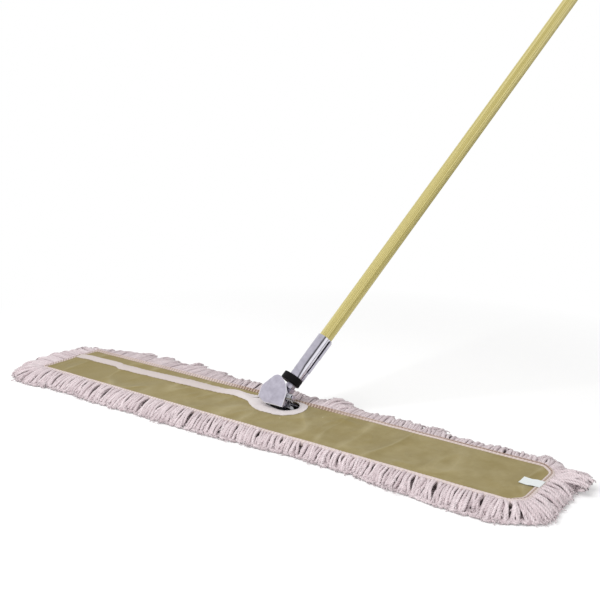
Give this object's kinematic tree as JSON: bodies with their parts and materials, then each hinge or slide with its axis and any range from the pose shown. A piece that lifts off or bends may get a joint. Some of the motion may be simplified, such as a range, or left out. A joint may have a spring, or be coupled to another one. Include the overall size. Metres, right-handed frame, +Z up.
{
  "type": "dust mop",
  "caption": "Flat dust mop: canvas pocket with a cotton yarn fringe over a wire frame, and a fluted tube handle that tilts, leans and swivels on a sprung clip.",
  "frame": {"origin": "on the floor under the middle of the canvas pocket", "axes": "+X along the pocket towards the label end, +Y across it towards the side that the handle leans to, +Z up"},
  "size_m": [1.015, 1.0554, 1.0489],
  "materials": {
    "frame_wire": "satin",
    "khaki_canvas": "matte",
    "base_canvas": "matte",
    "cotton_yarn": "matte",
    "edge_braid": "matte",
    "twill_tape": "matte",
    "label_satin": "satin",
    "plated_steel": "satin",
    "spring_steel": "satin",
    "ferrule_steel": "gloss",
    "black_nylon": "satin",
    "natural_nylon": "satin",
    "gold_tube": "satin"
  },
  "bodies": {
    "head": {"frame_loop": "frame_wire", "cross_wires": "frame_wire", "centre_bar": "frame_wire", "pocket_cover": "khaki_canvas", "base_cloth": "base_canvas", "yarn_pad": "cotton_yarn", "edge_binding": "edge_braid", "slit_tape": "twill_tape", "opening_tape": "twill_tape", "care_label": "label_satin", "fringe_front": "cotton_yarn", "fringe_right": "cotton_yarn", "fringe_rear": "cotton_yarn", "fringe_left": "cotton_yarn"},
    "clip": {"clip_body": "plated_steel", "jaw_pin": "plated_steel", "lean_pin": "plated_steel", "jaw_spring": "spring_steel"},
    "jaw": {"front_jaw": "plated_steel"},
    "neck": {"neck_yoke": "plated_steel", "collar": "black_nylon", "stud_ring": "spring_steel"},
    "handle": {"swivel_bush": "natural_nylon", "ferrule": "ferrule_steel", "ferrule_liner": "ferrule_steel", "ferrule_rivet": "plated_steel", "handle_tube": "gold_tube", "end_cap": "black_nylon"}
  },
  "joints": [
    {"name": "handle_tilt", "type": "hinge", "parent": "head", "child": "clip", "pos_m": [0.018, 0.027, 0.0235], "axis": [1, 0, 0], "range_deg": [-25, 20]},
    {"name": "jaw_release", "type": "hinge", "parent": "clip", "child": "jaw", "pos_m": [0.018, 0.02611, 0.04045], "axis": [-1, 0, 0], "range_deg": [0, 9], "stiffness_Nm_per_rad": 1.5, "springref_deg": -17.19},
    {"name": "handle_lean", "type": "hinge", "parent": "clip", "child": "neck", "pos_m": [0.018, 0.03771, 0.03539], "axis": [0, 0.7431, -0.6691], "range_deg": [-54, 25]},
    {"name": "handle_swivel", "type": "hinge", "parent": "neck", "child": "handle", "pos_m": [0.018, 0.03771, 0.03539], "axis": [0.2453, 0.6487, 0.7204], "continuous": true}
  ]
}
